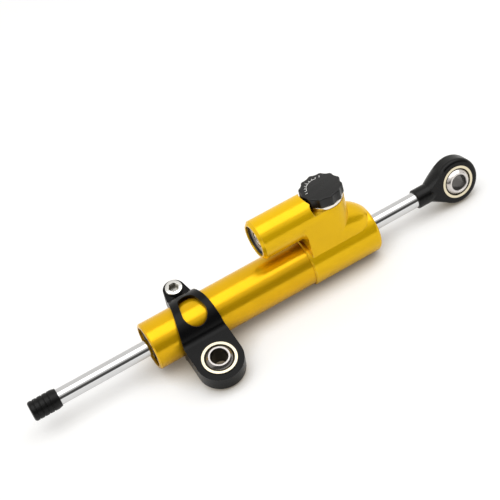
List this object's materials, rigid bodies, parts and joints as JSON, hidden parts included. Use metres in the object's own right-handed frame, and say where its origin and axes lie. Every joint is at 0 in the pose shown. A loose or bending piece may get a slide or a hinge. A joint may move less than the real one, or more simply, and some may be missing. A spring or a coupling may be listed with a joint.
{
  "type": "motorcycle steering damper",
  "caption": "Hydraulic steering damper with a rod through both ends, a rotary adjuster, a side reservoir, a rod end and a sliding bearing clamp.",
  "frame": {"origin": "centre of the ball in the rod end, on the rod's axis", "axes": "+X along the rod towards the rod end, +Z along the adjuster's axis away from the tube, -Y towards the side of the clamp's lug"},
  "size_m": [0.2497, 0.0641, 0.0514],
  "materials": {
    "gold_anodised": "bright anodised gold",
    "black_anodised": "satin black anodised",
    "chromed_rod": "ground and hard chromed",
    "ball_steel": "polished steel",
    "race_brass": "pale turned brass",
    "seat_brass": "turned brass",
    "bush_bronze": "sintered bronze",
    "screw_steel": "zinc plated",
    "bare_steel": "turned",
    "spring_steel": "blackened",
    "grey_aluminium": "turned grey",
    "seal_rubber": "moulded",
    "band_plastic": "filled fluoropolymer"
  },
  "bodies": {
    "root": {"head_block": "gold_anodised", "damper_tube": "gold_anodised", "tube_o_ring": "seal_rubber", "liner": "grey_aluminium", "left_gland": "grey_aluminium", "left_bush": "bush_bronze", "left_rod_seal": "seal_rubber", "left_wiper": "seal_rubber", "left_gland_o_ring": "seal_rubber", "left_circlip": "spring_steel", "right_gland": "grey_aluminium", "right_bush": "bush_bronze", "right_rod_seal": "seal_rubber", "right_wiper": "seal_rubber", "right_gland_o_ring": "seal_rubber", "right_circlip": "spring_steel", "metering_seat": "seat_brass", "adjuster_retainer": "screw_steel", "detent_ball": "ball_steel", "detent_spring": "spring_steel", "reservoir_plug": "grey_aluminium", "reservoir_plug_o_ring": "seal_rubber", "reservoir_circlip": "spring_steel", "charge_screw": "screw_steel"},
    "clamp": {"clamp": "black_anodised", "clamp_race": "race_brass", "clamp_screw": "screw_steel"},
    "clamp_ball": {"clamp_ball": "ball_steel"},
    "piston_band": {"piston_band": "band_plastic"},
    "rod": {"piston_rod": "chromed_rod", "piston": "grey_aluminium", "piston_clips": "spring_steel", "rod_end": "black_anodised", "rod_end_race": "race_brass", "end_cap": "black_anodised"},
    "rod_end_ball": {"rod_end_ball": "ball_steel"},
    "adjuster": {"adjuster_knob": "black_anodised", "adjuster_spindle": "bare_steel", "adjuster_o_ring": "seal_rubber", "knob_grub_screw": "spring_steel"},
    "floating_piston": {"floating_piston": "grey_aluminium", "floating_piston_o_ring": "seal_rubber"}
  },
  "joints": [
    {"name": "rod_slide", "type": "slide", "parent": "root", "child": "piston_band", "axis": [1, 0, 0], "range_m": [-0.026, 0.047]},
    {"name": "rod_turn", "type": "hinge", "parent": "piston_band", "child": "rod", "pos_m": [-0.1, 0, 0], "axis": [1, 0, 0], "continuous": true},
    {"name": "rod_end_ball_turn", "type": "hinge", "parent": "rod", "child": "rod_end_ball", "pos_m": [0, 0, 0], "axis": [0, -0.9877, 0.1564], "continuous": true},
    {"name": "adjuster_turn", "type": "hinge", "parent": "root", "child": "adjuster", "pos_m": [-0.0707, 0, 0.03], "axis": [0, 0, 1], "range_deg": [-60, 90]},
    {"name": "clamp_slide", "type": "slide", "parent": "root", "child": "clamp", "axis": [1, 0, 0], "range_m": [-0.009, 0.027]},
    {"name": "clamp_ball_turn", "type": "hinge", "parent": "clamp", "child": "clamp_ball", "pos_m": [-0.1516, -0.02685, -0.00582], "axis": [0, -0.284, 0.9588], "continuous": true},
    {"name": "floating_piston_slide", "type": "slide", "parent": "root", "child": "floating_piston", "axis": [1, 0, 0], "range_m": [-0.003, 0.005]}
  ]
}
